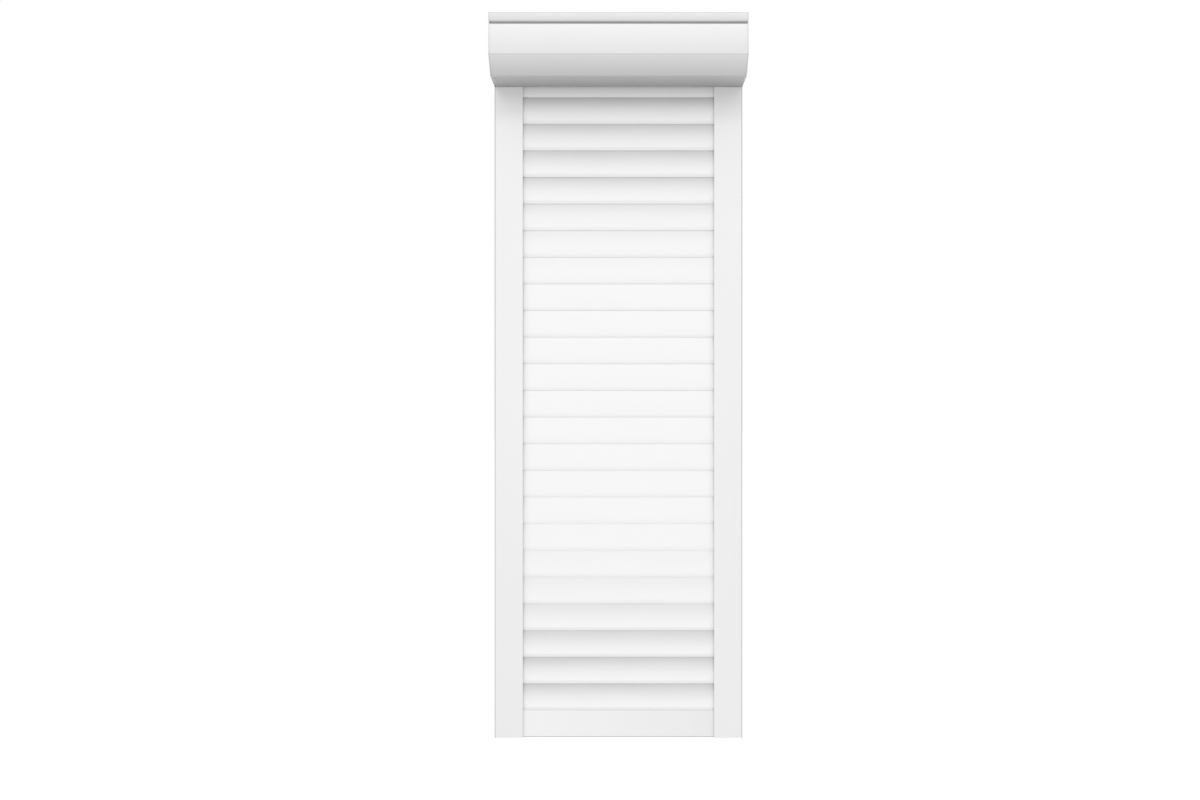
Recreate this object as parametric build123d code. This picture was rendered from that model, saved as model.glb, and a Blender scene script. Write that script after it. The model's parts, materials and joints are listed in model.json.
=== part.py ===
from build123d import *
import math
import os

# Exterior roller shutter with a built-on box, closed.
# Millimetres. X runs along the box, +Y points at the wall and +Z is up.
# The origin is on the sill, midway between the rails and midway through the depth of the box.

# Overall sizes
OVERALL_WIDTH = 800.0
OPENING_HEIGHT = 2100.0
BOX_DEPTH = 180.0
BOX_HEIGHT = 180.0
BOX_CHAMFER = 52.0

# Clearances
FIT_GAP = 0.3
RUNNING_GAP = 0.05
CUT_OVERRUN = 1.0

# Sheets of the box: the rear shell with its front lip, the revision cover and the groove between them
SHEET = 1.2
SHELL_BEND = 1.5
COVER_BEND = 2.5
LIP_HEIGHT = 29.0
LIP_BEND = 6.0
LIP_FOOT = 7.5
LIP_FOOT_GAP = 0.6
GROOVE_HEIGHT = 6.5
COVER_RECESS = 1.0
COVER_TUCK = 14.0
COVER_UPTURN = 9.0

# Side caps, each with a rim inside the sheets, a pad for a bracket and a tongue down into the rail
CAP_PLATE = 3.0
CAP_CORNER = 1.5
CAP_EDGE = 1.0
CAP_RIM_DEPTH = 14.0
CAP_RIM_WALL = 1.8
CAP_PAD = 5.0
CAP_FOOT = 3.0
CAP_TONGUE = 60.0
SCREW_BOSS_RADIUS = 4.5
SCREW_BOSS_HEIGHT = 9.0

# Screws up through the revision cover's underside
SCREW_RADIUS = 2.0
SCREW_LENGTH = 10.0
SCREW_HEAD_RADIUS = 4.0
SCREW_HEAD_HEIGHT = 2.0
SCREW_PITCH = 70.0
RECESS_WIDTH = 1.2
RECESS_LENGTH = 5.0
RECESS_DEPTH = 1.0

# Guide rails: a base screwed to the wall, a cover clipped over it and two sliding inserts
RAIL_FACE = 91.5
RAIL_DEPTH = 22.0
RAIL_COVER_WALL = 1.5
RAIL_MOUTH_BEND = 1.8
RAIL_EDGE_BEND = 4.0
RAIL_WALL = 1.6
RAIL_CLIP_HEIGHT = 12.0
CHANNEL_DEPTH = 40.0
INSERT_WIDTH = 8.0
INSERT_BACK = 1.4
INSERT_LIP = 3.0
RAIL_PLUG_HEIGHT = 15.0
WALL_SCREW_RADIUS = 3.2
WALL_SCREW_INSET = 150.0
WALL_SCREW_ROWS = 3

# Inlet guides in the rails' upper ends
INLET_DEPTH = 40.0
INLET_SLOT = 11.0
INLET_BACK = 2.6
INLET_WING_HEIGHT = 25.0
INLET_WING_SPREAD = 8.0
INLET_WING_TIP = 1.2

# Slats
SLAT_PITCH = 86.2
SLAT_THICKNESS = 10.0
SLAT_SKIN = 1.0
SLAT_ENTRY = 28.0
NOSE_HEIGHT = 10.0
NOSE_TUCK = 2.3
NOSE_LEAN = 11.0
TOP_RECESS = 4.0
POCKET_HEIGHT = 13.0
HANGER_HEIGHT = 4.0
HOOK_HEIGHT = 9.0
HOOK_DROP = 4.5
HOOK_PLAY = 0.7

# Locks plugged into the slats' ends
LOCK_PLATE = 5.0
LOCK_PLUG = 16.0
LOCK_MARGIN = 16.0

# Bottom bar, with its rubber seal and its end stops
BAR_HEIGHT = 87.0
BAR_WALL = 1.6
BAR_CORNER = 0.8
SEAL_FOOT = 2.0
SEAL_FOOT_WIDTH = 8.0
SEAL_SLOT = 4.0
SEAL_HEAD_WIDTH = 6.4
SEAL_HEAD_HEIGHT = 3.0
STOP_LEVEL = 20.0
STOP_HEIGHT = 30.0
STOP_REACH = 6.5
STOP_PLUG = 36.0

# Winding shaft with its strap rings, and the spring straps that carry the curtain
SHAFT_ACROSS_FLATS = 60.0
SHAFT_SIDES = 8
SHAFT_WALL = 1.0
SHAFT_LEFT_INSET = 31.0
SHAFT_RIGHT_INSET = 42.0
RING_WALL = 3.0
RING_WIDTH = 24.0
RING_SPACING = 220.0
RING_COUNT = 3
STRAP_THICKNESS = 0.8
STRAP_WIDTH = 20.0
STRAP_BEND_SHARE = 0.7

# Idle end: capsule in the shaft, pin, ball bearing and its holder
CAPSULE_LENGTH = 60.0
PIN_RADIUS = 6.0
PIN_OUT = 22.0
PIN_IN = 46.0
BEARING_RADIUS = 14.0
BEARING_WIDTH = 10.0
RACE_WALL = 2.4
BALL_RADIUS = 2.5
BALL_COUNT = 8
BRACKET_SIZE = 62.0
BRACKET_PLATE = 3.0
BRACKET_CORNER = 6.0
CUP_WALL = 3.0
BRACKET_SCREW_INSET = 8.0
BRACKET_SCREW_RADIUS = 2.5
BRACKET_SCREW_LENGTH = 6.0
BRACKET_HEAD_RADIUS = 4.4
BRACKET_HEAD_HEIGHT = 2.6

# Drive end: tubular motor inside the shaft
MOTOR_RADIUS = 22.5
MOTOR_WALL = 1.5
MOTOR_LENGTH = 395.0
MOTOR_END_WALL = 6.0
MOTOR_HEAD_RADIUS = 27.0
MOTOR_HEAD_LENGTH = 24.0
MOTOR_HEAD_CHAMFER = 2.0
MOTOR_STUD = 10.0
SOCKET_DEPTH = 6.0
SOCKET_RADIUS = 15.0
CROWN_LENGTH = 20.0
CROWN_INSET = 4.0
ADAPTER_LENGTH = 22.0
ADAPTER_GAP = 3.0
OUTPUT_RADIUS = 7.0
OUTPUT_INSIDE = 12.0

# Grommet in the box's back, where a supply lead can come in from the wall
GROMMET_BORE = 4.5
GROMMET_NECK = 8.0
GROMMET_FLANGE = 11.0
GROMMET_FLANGE_DEPTH = 2.5
GROMMET_INSET = 45.0
GROMMET_RISE = 45.0

# Planes of the box
HALF_WIDTH = OVERALL_WIDTH / 2
WALL_Y = BOX_DEPTH / 2
FRONT_Y = -WALL_Y
BOX_TOP = OPENING_HEIGHT + BOX_HEIGHT
LIP_Z = BOX_TOP - LIP_HEIGHT
GROOVE_Z = LIP_Z - GROOVE_HEIGHT
TUCK_Y = FRONT_Y + LIP_FOOT + LIP_FOOT_GAP
CAP_FACE_X = HALF_WIDTH - CAP_PLATE
PAD_FACE_X = CAP_FACE_X - CAP_PAD
BRACKET_FACE_X = PAD_FACE_X - BRACKET_PLATE
SHEET_END_X = CAP_FACE_X - FIT_GAP
GROMMET_X = CAP_FACE_X - GROMMET_INSET
GROMMET_Z = OPENING_HEIGHT + GROMMET_RISE

# Planes of the rails, on the right-hand side
MOUTH_X = HALF_WIDTH - RAIL_FACE
RAIL_FRONT_Y = WALL_Y - RAIL_DEPTH
BASE_FRONT_Y = RAIL_FRONT_Y + RAIL_COVER_WALL + FIT_GAP
BASE_MOUTH_X = MOUTH_X + RAIL_COVER_WALL + FIT_GAP
BASE_OUTER_X = HALF_WIDTH - RAIL_COVER_WALL - FIT_GAP
WEB_INNER_X = MOUTH_X + CHANNEL_DEPTH
WEB_OUTER_X = WEB_INNER_X + RAIL_WALL
CHAMBER_OUTER_X = BASE_OUTER_X - RAIL_WALL
CHANNEL_FRONT_Y = BASE_FRONT_Y + RAIL_WALL
CHANNEL_BACK_Y = WALL_Y - RAIL_WALL
CHANNEL_HALF = (CHANNEL_BACK_Y - CHANNEL_FRONT_Y) / 2
INLET_Z = OPENING_HEIGHT - INLET_DEPTH
COVER_BACK_Y = RAIL_FRONT_Y - 2 * FIT_GAP

# Planes of the curtain, across its thickness from its middle and along its height
SLAT_Y = (CHANNEL_BACK_Y + CHANNEL_FRONT_Y) / 2
SLAT_HALF = MOUTH_X + SLAT_ENTRY
HALF_THICKNESS = SLAT_THICKNESS / 2
SKIN_BACK = HALF_THICKNESS - SLAT_SKIN
NECK_BACK = SKIN_BACK - HOOK_PLAY
NECK_FRONT = NECK_BACK - SLAT_SKIN
HANGER_BACK = NECK_FRONT - HOOK_PLAY
HANGER_FRONT = HANGER_BACK - SLAT_SKIN
DROP_BACK = HANGER_FRONT - HOOK_PLAY
DROP_FRONT = DROP_BACK - SLAT_SKIN
SLAT_COUNT = math.floor((OPENING_HEIGHT - BAR_HEIGHT) / SLAT_PITCH) + 1
CURTAIN_TOP = BAR_HEIGHT + SLAT_COUNT * SLAT_PITCH

# Lines of the shaft and the places of what is on it
SHAFT_Y = 0.0
SHAFT_Z = OPENING_HEIGHT + BOX_HEIGHT / 2
SHAFT_LEFT_X = SHAFT_LEFT_INSET - CAP_FACE_X
SHAFT_RIGHT_X = CAP_FACE_X - SHAFT_RIGHT_INSET
BORE_ACROSS_FLATS = SHAFT_ACROSS_FLATS - 2 * SHAFT_WALL
RING_RADIUS = SHAFT_ACROSS_FLATS / 2 / math.cos(math.pi / SHAFT_SIDES) + RING_WALL
STRAP_PLACES = [RING_SPACING * (i - (RING_COUNT - 1) / 2) for i in range(RING_COUNT)]
MOTOR_HEAD_END_X = BRACKET_FACE_X - SOCKET_DEPTH - FIT_GAP
MOTOR_RIGHT_X = MOTOR_HEAD_END_X - MOTOR_HEAD_LENGTH
MOTOR_LEFT_X = MOTOR_RIGHT_X - MOTOR_LENGTH
OUTPUT_END_X = MOTOR_LEFT_X + MOTOR_END_WALL + OUTPUT_INSIDE
ADAPTER_RIGHT_X = MOTOR_LEFT_X - ADAPTER_GAP
ADAPTER_LEFT_X = ADAPTER_RIGHT_X - ADAPTER_LENGTH


# Shared construction


def block(x0, x1, y0, y1, z0, z1):
    low_corner = (Align.MIN, Align.MIN, Align.MIN)
    return Pos(x0, y0, z0) * Box(x1 - x0, y1 - y0, z1 - z0, align=low_corner)


def rectangle(a0, a1, b0, b1):
    return Pos(a0, b0) * Rectangle(a1 - a0, b1 - b0, align=(Align.MIN, Align.MIN))


def polygon(points):
    return make_face(Polyline(*points, close=True))


def along_x(face, x0, x1):
    """A solid from a face drawn in Y and Z, between two places on X."""
    return extrude(Plane.YZ.offset(x0) * face, x1 - x0)


def along_z(face, z0, z1):
    """A solid from a face drawn in X and Y, between two heights."""
    return extrude(Pos(0, 0, z0) * face, z1 - z0)


def shaft_rod(radius, x0, x1):
    return along_x(Pos(SHAFT_Y, SHAFT_Z) * Circle(radius), x0, x1)


def shaft_octagon(across_flats, x0, x1):
    half_turn_of_a_side = 180 / SHAFT_SIDES
    face = RegularPolygon(across_flats / 2, SHAFT_SIDES, False, half_turn_of_a_side)
    return along_x(Pos(SHAFT_Y, SHAFT_Z) * face, x0, x1)


def standing_rod(radius, x, y, z0, z1):
    return along_z(Pos(x, y) * Circle(radius), z0, z1)


def wall_rod(radius, x, z, y0, y1):
    return Pos(x, (y0 + y1) / 2, z) * Cylinder(radius, y1 - y0, rotation=(90, 0, 0))


def shifted(points, distance):
    """The points of an open path moved to its left by a distance, mitred at each bend."""
    normals = []
    for (a0, b0), (a1, b1) in zip(points, points[1:]):
        length = math.hypot(a1 - a0, b1 - b0)
        normals.append(((b0 - b1) / length, (a1 - a0) / length))
    moved = []
    for i, (a, b) in enumerate(points):
        before = normals[max(i - 1, 0)]
        after = normals[min(i, len(normals) - 1)]
        reach = distance / (1 + before[0] * after[0] + before[1] * after[1])
        moved.append((a + reach * (before[0] + after[0]), b + reach * (before[1] + after[1])))
    return moved


def bent_sheet(points, thickness, bends):
    """The section of a sheet on the left of a path, with the outer radius of each of its bends."""
    path_radii = []
    inner_radii = []
    for (a0, b0), (a1, b1), (a2, b2), bend in zip(points, points[1:], points[2:], bends):
        turns_left = (a1 - a0) * (b2 - b1) > (b1 - b0) * (a2 - a1)
        path_radii.append(bend if turns_left else bend - thickness)
        inner_radii.append(bend - thickness if turns_left else bend)
    inner_points = shifted(points, thickness)
    outer = FilletPolyline(*points, radius=path_radii)
    inner = FilletPolyline(*inner_points, radius=inner_radii)
    ends = [Line(points[0], inner_points[0]), Line(points[-1], inner_points[-1])]
    return make_face([outer, inner, *ends])


def mirrored(shape):
    return mirror(shape, about=Plane.YZ)


def both_sides(shape):
    return [shape, mirrored(shape)]


def save(name, shapes):
    """Writes one node: a solid, or a group of separate solids."""
    solids = []
    for shape in shapes if isinstance(shapes, list) else [shapes]:
        solids.extend(shape.solids())
    whole = solids[0] if len(solids) == 1 else Compound(solids)
    export_step(whole, os.path.join("parts", name + ".step"))


# Box


def box_outline(front, top, back, bottom, chamfer):
    """Corners of the box's section in Y and Z, with each side moved in by its own distance."""
    diagonal = FRONT_Y + OPENING_HEIGHT + BOX_CHAMFER + chamfer * math.sqrt(2)
    front_y = FRONT_Y + front
    bottom_z = OPENING_HEIGHT + bottom
    return [
        (WALL_Y - back, bottom_z),
        (WALL_Y - back, BOX_TOP - top),
        (front_y, BOX_TOP - top),
        (front_y, diagonal - front_y),
        (diagonal - bottom_z, bottom_z),
    ]


def rear_shell():
    path = [
        (WALL_Y, OPENING_HEIGHT),
        (WALL_Y, BOX_TOP),
        (FRONT_Y, BOX_TOP),
        (FRONT_Y, LIP_Z),
        (FRONT_Y + LIP_FOOT, LIP_Z),
    ]
    section = bent_sheet(path, SHEET, [SHELL_BEND, SHELL_BEND, LIP_BEND])
    shell = along_x(section, -SHEET_END_X, SHEET_END_X)
    hole_y = WALL_Y - SHEET - CUT_OVERRUN
    return shell - wall_rod(GROMMET_NECK + RUNNING_GAP, GROMMET_X, GROMMET_Z, hole_y, WALL_Y + CUT_OVERRUN)


def cover_screw_places():
    """X and Y of the screws between the revision cover's underside and the side caps' rims."""
    x = CAP_FACE_X - CAP_RIM_DEPTH / 2
    rear_y = COVER_BACK_Y - 2 * SCREW_BOSS_RADIUS
    return [(x, rear_y - SCREW_PITCH), (x, rear_y)]


def revision_cover():
    corners = box_outline(COVER_RECESS, 0, 0, 0, COVER_RECESS / math.sqrt(2))
    path = [
        (TUCK_Y, LIP_Z + COVER_TUCK),
        (TUCK_Y, GROOVE_Z),
        (FRONT_Y + COVER_RECESS, GROOVE_Z),
        *corners[3:],
        (COVER_BACK_Y, OPENING_HEIGHT),
        (COVER_BACK_Y, OPENING_HEIGHT + COVER_UPTURN),
    ]
    section = bent_sheet(path, SHEET, [COVER_BEND] * (len(path) - 2))
    cover = along_x(section, -SHEET_END_X, SHEET_END_X)
    for x, y in cover_screw_places():
        z0 = OPENING_HEIGHT - CUT_OVERRUN
        z1 = OPENING_HEIGHT + SHEET + CUT_OVERRUN
        for hole in both_sides(standing_rod(SCREW_RADIUS + FIT_GAP, x, y, z0, z1)):
            cover -= hole
    return cover


def cover_screws():
    screws = []
    for x, y in cover_screw_places():
        head_z = OPENING_HEIGHT - SCREW_HEAD_HEIGHT
        screw = standing_rod(SCREW_HEAD_RADIUS, x, y, head_z, OPENING_HEIGHT)
        screw += standing_rod(SCREW_RADIUS, x, y, OPENING_HEIGHT, OPENING_HEIGHT + SCREW_LENGTH)
        bar = Box(RECESS_LENGTH, RECESS_WIDTH, 2 * RECESS_DEPTH)
        screw -= Pos(x, y, head_z) * (bar + Rot(0, 0, 90) * bar)
        screws.extend(both_sides(screw))
    return screws


def rim_outline(depth):
    """The side cap's rim inside the sheets, moved further in by a depth."""
    inset = SHEET + FIT_GAP + depth
    return box_outline(COVER_RECESS + inset, inset, inset, inset, COVER_RECESS / math.sqrt(2) + inset)


def side_cap():
    """The right-hand cap; the left one is its mirror image."""
    plate_face = polygon(box_outline(0, 0, 0, 0, 0))
    cap = along_x(fillet(plate_face.vertices(), CAP_CORNER), CAP_FACE_X, HALF_WIDTH)
    cap = fillet(cap.faces().sort_by(Axis.X)[-1].edges(), CAP_EDGE)
    ring = polygon(rim_outline(0)) - polygon(rim_outline(CAP_RIM_WALL))
    cap += along_x(ring, CAP_FACE_X - CAP_RIM_DEPTH, CAP_FACE_X)
    half_pad = BRACKET_SIZE / 2
    cap += block(
        PAD_FACE_X, CAP_FACE_X, SHAFT_Y - half_pad, SHAFT_Y + half_pad, SHAFT_Z - half_pad, SHAFT_Z + half_pad
    )
    cap += block(
        WEB_OUTER_X,
        CAP_FACE_X,
        RAIL_FRONT_Y + FIT_GAP,
        WALL_Y - SHEET - FIT_GAP,
        OPENING_HEIGHT,
        OPENING_HEIGHT + CAP_FOOT,
    )
    cap += block(
        WEB_OUTER_X + FIT_GAP,
        CHAMBER_OUTER_X - FIT_GAP,
        BASE_FRONT_Y + FIT_GAP,
        CHANNEL_BACK_Y - FIT_GAP,
        OPENING_HEIGHT - CAP_TONGUE,
        OPENING_HEIGHT,
    )
    cap -= block(
        CAP_FACE_X - CAP_RIM_DEPTH - CUT_OVERRUN,
        CAP_FACE_X,
        COVER_BACK_Y - COVER_BEND - FIT_GAP,
        COVER_BACK_Y + FIT_GAP,
        OPENING_HEIGHT,
        OPENING_HEIGHT + COVER_UPTURN + FIT_GAP,
    )
    cap -= block(
        CAP_FACE_X - CAP_RIM_DEPTH - CUT_OVERRUN,
        CAP_FACE_X,
        FRONT_Y,
        TUCK_Y,
        GROOVE_Z - COVER_BEND - FIT_GAP,
        LIP_Z + LIP_BEND + FIT_GAP,
    )
    boss_z = OPENING_HEIGHT + SHEET + FIT_GAP
    for x, y in cover_screw_places():
        cap += standing_rod(SCREW_BOSS_RADIUS, x, y, boss_z, boss_z + SCREW_BOSS_HEIGHT)
        top_z = boss_z + SCREW_BOSS_HEIGHT + CUT_OVERRUN
        cap -= standing_rod(SCREW_RADIUS + RUNNING_GAP, x, y, boss_z - CUT_OVERRUN, top_z)
    for y, z in bracket_screw_places():
        screw_end_x = BRACKET_FACE_X + BRACKET_SCREW_LENGTH + FIT_GAP
        face = Pos(y, z) * Circle(BRACKET_SCREW_RADIUS + RUNNING_GAP)
        cap -= along_x(face, PAD_FACE_X, screw_end_x)
    return cap


def cable_grommet():
    inner_y = WALL_Y - SHEET
    grommet = wall_rod(GROMMET_NECK, GROMMET_X, GROMMET_Z, inner_y, WALL_Y)
    grommet += wall_rod(GROMMET_FLANGE, GROMMET_X, GROMMET_Z, inner_y - GROMMET_FLANGE_DEPTH, inner_y)
    bore_y = inner_y - GROMMET_FLANGE_DEPTH - CUT_OVERRUN
    return grommet - wall_rod(GROMMET_BORE, GROMMET_X, GROMMET_Z, bore_y, WALL_Y + CUT_OVERRUN)


# Brackets on the side caps


def bracket_screw_places():
    """Y and Z of the four screws at a bracket's corners."""
    reach = BRACKET_SIZE / 2 - BRACKET_SCREW_INSET
    return [(SHAFT_Y + a * reach, SHAFT_Z + b * reach) for a in (-1, 1) for b in (-1, 1)]


def bracket_plate():
    face = Pos(SHAFT_Y, SHAFT_Z) * RectangleRounded(BRACKET_SIZE, BRACKET_SIZE, BRACKET_CORNER)
    for y, z in bracket_screw_places():
        face -= Pos(y, z) * Circle(BRACKET_SCREW_RADIUS + FIT_GAP)
    return along_x(face, BRACKET_FACE_X, PAD_FACE_X)


def bracket_screws():
    screws = []
    for y, z in bracket_screw_places():
        head_x = BRACKET_FACE_X - BRACKET_HEAD_HEIGHT
        screw = along_x(Pos(y, z) * Circle(BRACKET_HEAD_RADIUS), head_x, BRACKET_FACE_X)
        shank = Pos(y, z) * Circle(BRACKET_SCREW_RADIUS)
        screw += along_x(shank, BRACKET_FACE_X, BRACKET_FACE_X + BRACKET_SCREW_LENGTH)
        screws.extend(both_sides(screw))
    return screws


def motor_bracket():
    bracket = bracket_plate() + shaft_rod(SOCKET_RADIUS, BRACKET_FACE_X - SOCKET_DEPTH, BRACKET_FACE_X)
    width = MOTOR_STUD + 2 * RUNNING_GAP
    socket = Pos(SHAFT_Y, SHAFT_Z) * Rectangle(width, width)
    return bracket - along_x(socket, BRACKET_FACE_X - SOCKET_DEPTH, BRACKET_FACE_X)


def bearing_holder():
    cup_x = BRACKET_FACE_X - BEARING_WIDTH
    holder = bracket_plate() + shaft_rod(BEARING_RADIUS + CUP_WALL, cup_x, BRACKET_FACE_X)
    return mirrored(holder - shaft_rod(BEARING_RADIUS + RUNNING_GAP, cup_x, BRACKET_FACE_X))


# Idle end


def race(inner_radius, outer_radius):
    cup_x = BRACKET_FACE_X - BEARING_WIDTH
    ring = shaft_rod(outer_radius, cup_x, BRACKET_FACE_X) - shaft_rod(inner_radius, cup_x, BRACKET_FACE_X)
    track = Torus(ball_circle(), BALL_RADIUS + RUNNING_GAP, rotation=(0, 90, 0))
    return mirrored(ring - Pos(cup_x + BEARING_WIDTH / 2, SHAFT_Y, SHAFT_Z) * track)


def ball_circle():
    return (PIN_RADIUS + BEARING_RADIUS) / 2


def bearing_balls():
    balls = []
    x = BRACKET_FACE_X - BEARING_WIDTH / 2
    for i in range(BALL_COUNT):
        turn = 2 * math.pi * i / BALL_COUNT
        y = SHAFT_Y + ball_circle() * math.cos(turn)
        z = SHAFT_Z + ball_circle() * math.sin(turn)
        balls.append(Pos(-x, y, z) * Sphere(BALL_RADIUS))
    return balls


def idler_capsule():
    capsule = shaft_octagon(BORE_ACROSS_FLATS - FIT_GAP, SHAFT_LEFT_X, SHAFT_LEFT_X + CAPSULE_LENGTH)
    return capsule - shaft_rod(PIN_RADIUS + RUNNING_GAP, SHAFT_LEFT_X, SHAFT_LEFT_X + CAPSULE_LENGTH)


def idler_pin():
    return shaft_rod(PIN_RADIUS, SHAFT_LEFT_X - PIN_OUT, SHAFT_LEFT_X + PIN_IN)


# Winding shaft


def shaft_tube():
    tube = shaft_octagon(SHAFT_ACROSS_FLATS, SHAFT_LEFT_X, SHAFT_RIGHT_X)
    return tube - shaft_octagon(BORE_ACROSS_FLATS, SHAFT_LEFT_X, SHAFT_RIGHT_X)


def strap_rings():
    rings = []
    for x in STRAP_PLACES:
        ring = shaft_rod(RING_RADIUS, x - RING_WIDTH / 2, x + RING_WIDTH / 2)
        bore = shaft_octagon(SHAFT_ACROSS_FLATS + FIT_GAP, x - RING_WIDTH / 2, x + RING_WIDTH / 2)
        rings.append(ring - bore)
    return rings


def spring_straps():
    back_y = SLAT_Y + NECK_BACK + FIT_GAP + STRAP_THICKNESS
    top_z = SHAFT_Z + RING_RADIUS + FIT_GAP + STRAP_THICKNESS
    path = [(back_y, CURTAIN_TOP), (back_y, top_z), (SHAFT_Y, top_z)]
    bend = STRAP_BEND_SHARE * min(back_y - SHAFT_Y, top_z - CURTAIN_TOP)
    section = bent_sheet(path, STRAP_THICKNESS, [bend])
    return [along_x(section, x - STRAP_WIDTH / 2, x + STRAP_WIDTH / 2) for x in STRAP_PLACES]


# Tubular motor


def motor_tube():
    bore_x = MOTOR_LEFT_X + MOTOR_END_WALL
    tube = shaft_rod(MOTOR_RADIUS, MOTOR_LEFT_X, MOTOR_RIGHT_X)
    tube -= shaft_rod(MOTOR_RADIUS - MOTOR_WALL, bore_x, MOTOR_RIGHT_X)
    return tube - shaft_rod(OUTPUT_RADIUS + RUNNING_GAP, MOTOR_LEFT_X, bore_x)


def motor_drive_unit():
    return shaft_rod(MOTOR_RADIUS - MOTOR_WALL - FIT_GAP, OUTPUT_END_X + FIT_GAP, MOTOR_RIGHT_X - FIT_GAP)


def motor_head():
    head = shaft_rod(MOTOR_HEAD_RADIUS, MOTOR_RIGHT_X, MOTOR_HEAD_END_X)
    head = chamfer(head.edges().group_by(Axis.X)[-1], MOTOR_HEAD_CHAMFER)
    stud = Pos(SHAFT_Y, SHAFT_Z) * Rectangle(MOTOR_STUD, MOTOR_STUD)
    return head + along_x(stud, MOTOR_HEAD_END_X, BRACKET_FACE_X - FIT_GAP)


def crown_adapter():
    right_x = SHAFT_RIGHT_X - CROWN_INSET
    crown = shaft_octagon(BORE_ACROSS_FLATS - FIT_GAP, right_x - CROWN_LENGTH, right_x)
    return crown - shaft_rod(MOTOR_RADIUS + RUNNING_GAP, right_x - CROWN_LENGTH, right_x)


def drive_adapter():
    adapter = shaft_octagon(BORE_ACROSS_FLATS - FIT_GAP, ADAPTER_LEFT_X, ADAPTER_RIGHT_X)
    return adapter - shaft_rod(OUTPUT_RADIUS + RUNNING_GAP, ADAPTER_LEFT_X, ADAPTER_RIGHT_X)


def output_pin():
    return shaft_rod(OUTPUT_RADIUS, ADAPTER_LEFT_X, OUTPUT_END_X)


# Guide rails, right-hand ones; the left ones are their mirror images


def rail_base():
    section = rectangle(BASE_MOUTH_X, WEB_OUTER_X, BASE_FRONT_Y, CHANNEL_FRONT_Y)
    section += rectangle(WEB_INNER_X, WEB_OUTER_X, BASE_FRONT_Y, WALL_Y)
    section += rectangle(MOUTH_X, BASE_OUTER_X, CHANNEL_BACK_Y, WALL_Y)
    section += rectangle(CHAMBER_OUTER_X, BASE_OUTER_X, WALL_Y - RAIL_CLIP_HEIGHT, WALL_Y)
    base = along_z(section, 0, OPENING_HEIGHT)
    row_step = (OPENING_HEIGHT - 2 * WALL_SCREW_INSET) / (WALL_SCREW_ROWS - 1)
    for row in range(WALL_SCREW_ROWS):
        z = WALL_SCREW_INSET + row * row_step
        x = (WEB_OUTER_X + CHAMBER_OUTER_X) / 2
        base -= wall_rod(WALL_SCREW_RADIUS, x, z, CHANNEL_BACK_Y - CUT_OVERRUN, WALL_Y + CUT_OVERRUN)
    return base


def rail_cover():
    path = [
        (MOUTH_X, CHANNEL_FRONT_Y),
        (MOUTH_X, RAIL_FRONT_Y),
        (HALF_WIDTH, RAIL_FRONT_Y),
        (HALF_WIDTH, WALL_Y),
    ]
    section = bent_sheet(path, RAIL_COVER_WALL, [RAIL_MOUTH_BEND, RAIL_EDGE_BEND])
    return along_z(section, 0, OPENING_HEIGHT)


def sliding_inserts():
    """Front and rear strips in both rails' mouths, which the slats slide between."""
    outer_x = BASE_MOUTH_X + INSERT_WIDTH
    lip_x = BASE_MOUTH_X + (INSERT_WIDTH - INSERT_LIP) / 2
    lip_y = SLAT_Y - HALF_THICKNESS - FIT_GAP
    section = rectangle(BASE_MOUTH_X, outer_x, CHANNEL_FRONT_Y, CHANNEL_FRONT_Y + INSERT_BACK)
    section += rectangle(lip_x, lip_x + INSERT_LIP, CHANNEL_FRONT_Y, lip_y)
    front = along_z(section, 0, INLET_Z - FIT_GAP)
    rear = mirror(front, about=Plane.XZ.offset(-SLAT_Y))
    return both_sides(front) + both_sides(rear)


def rail_plugs():
    plug = block(
        WEB_OUTER_X + FIT_GAP,
        CHAMBER_OUTER_X - FIT_GAP,
        BASE_FRONT_Y + FIT_GAP,
        CHANNEL_BACK_Y - FIT_GAP,
        0,
        RAIL_PLUG_HEIGHT,
    )
    return both_sides(plug)


def inlet_guide():
    outer_x = WEB_INNER_X - FIT_GAP
    front_y = CHANNEL_FRONT_Y + FIT_GAP
    back_y = CHANNEL_BACK_Y - FIT_GAP
    slot_front_y = SLAT_Y - INLET_SLOT / 2
    slot_back_y = SLAT_Y + INLET_SLOT / 2
    wing_z = OPENING_HEIGHT + INLET_WING_HEIGHT
    section = rectangle(BASE_MOUTH_X, outer_x, front_y, back_y)
    section -= rectangle(BASE_MOUTH_X, outer_x - INLET_BACK, slot_front_y, slot_back_y)
    guide = along_z(section, INLET_Z, OPENING_HEIGHT)
    guide += block(outer_x - INLET_BACK, outer_x, front_y, back_y, OPENING_HEIGHT, wing_z)
    front_wing = polygon(
        [
            (front_y, OPENING_HEIGHT),
            (slot_front_y, OPENING_HEIGHT),
            (slot_front_y - INLET_WING_SPREAD, wing_z),
            (slot_front_y - INLET_WING_SPREAD - INLET_WING_TIP, wing_z),
        ]
    )
    back_wing = polygon(
        [
            (slot_back_y, OPENING_HEIGHT),
            (back_y, OPENING_HEIGHT),
            (back_y, wing_z),
            (back_y - INLET_WING_TIP, wing_z),
        ]
    )
    for wing in (front_wing, back_wing):
        guide += along_x(wing, BASE_MOUTH_X, outer_x)
    return guide


# Curtain


def slat_outline():
    """The slat's outer section from its bottom line to its top line, across its thickness and height."""
    top = SLAT_PITCH - FIT_GAP
    crown = (-HALF_THICKNESS, NOSE_HEIGHT)
    nose_end = (NOSE_TUCK - HALF_THICKNESS, 0)
    top_front = (TOP_RECESS - HALF_THICKNESS, top)
    lean = math.radians(NOSE_LEAN)
    edges = [
        TangentArc(crown, nose_end, tangent=(math.sin(lean), -math.cos(lean))),
        TangentArc(crown, top_front, tangent=(0, 1)),
        Polyline(nose_end, (HALF_THICKNESS, 0), (HALF_THICKNESS, top), top_front),
    ]
    return make_face(edges)


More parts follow.
